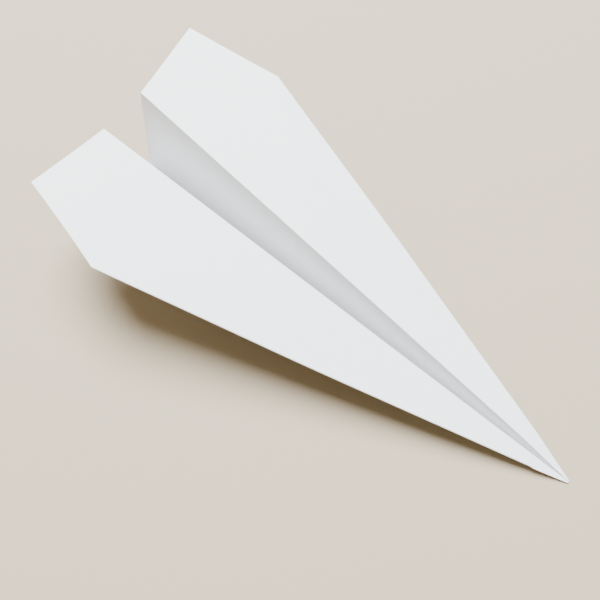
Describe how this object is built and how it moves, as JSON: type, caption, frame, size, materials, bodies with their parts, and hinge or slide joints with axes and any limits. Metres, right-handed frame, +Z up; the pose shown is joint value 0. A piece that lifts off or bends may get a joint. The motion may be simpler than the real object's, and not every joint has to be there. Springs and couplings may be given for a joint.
{
  "type": "folded paper dart",
  "caption": "Classic folded paper dart: one white sheet with a pointed nose, a V-shaped keel and two level, narrow delta wings.",
  "frame": {"origin": "under the middle of the dart, on the surface that the keel stands on", "axes": "+X from tail to nose, along the keel; +Y to the port side; +Z up"},
  "size_m": [0.3035, 0.1426, 0.0579],
  "materials": {
    "base_sheet": "matt uncoated white office paper",
    "folded_under": "matt uncoated white office paper",
    "creases": "matt white paper, pressed along the fold"
  },
  "bodies": {
    "port_side": {"keel_fold": "creases", "port_fuselage_base": "base_sheet", "port_fuselage_nose": "folded_under", "port_fuselage_flap_inner": "folded_under", "port_fuselage_flap_outer": "folded_under", "port_flap_fold": "creases", "port_wing_crease": "creases"},
    "starboard_side": {"starboard_fuselage_base": "base_sheet", "starboard_fuselage_nose": "folded_under", "starboard_fuselage_flap_inner": "folded_under", "starboard_fuselage_flap_outer": "folded_under", "starboard_flap_fold": "creases", "starboard_wing_crease": "creases"},
    "port_wing": {"port_wing_base": "base_sheet", "port_wing_nose": "folded_under", "port_wing_flap_inner": "folded_under", "port_wing_flap_outer": "folded_under", "port_leading_edge_fold": "creases", "port_inner_edge_fold": "creases"},
    "starboard_wing": {"starboard_wing_base": "base_sheet", "starboard_wing_nose": "folded_under", "starboard_wing_flap_inner": "folded_under", "starboard_wing_flap_outer": "folded_under", "starboard_leading_edge_fold": "creases", "starboard_inner_edge_fold": "creases"}
  },
  "joints": [
    {"name": "keel_hinge", "type": "hinge", "parent": "port_side", "child": "starboard_side", "pos_m": [0.15174, 0, 0.0004], "axis": [1, 0, 0], "range_deg": [-26, 72]},
    {"name": "port_wing_hinge", "type": "hinge", "parent": "port_side", "child": "port_wing", "pos_m": [0.15174, 0.00175, -0.00003], "axis": [-0.9823, 0.0453, 0.1818], "range_deg": [-71, 94], "deforming": ["port_wing_crease"]},
    {"name": "starboard_wing_hinge", "type": "hinge", "parent": "starboard_side", "child": "starboard_wing", "pos_m": [0.15174, -0.00175, -0.00003], "axis": [0.9823, 0.0453, -0.1818], "range_deg": [-71, 94], "deforming": ["starboard_wing_crease"]}
  ]
}
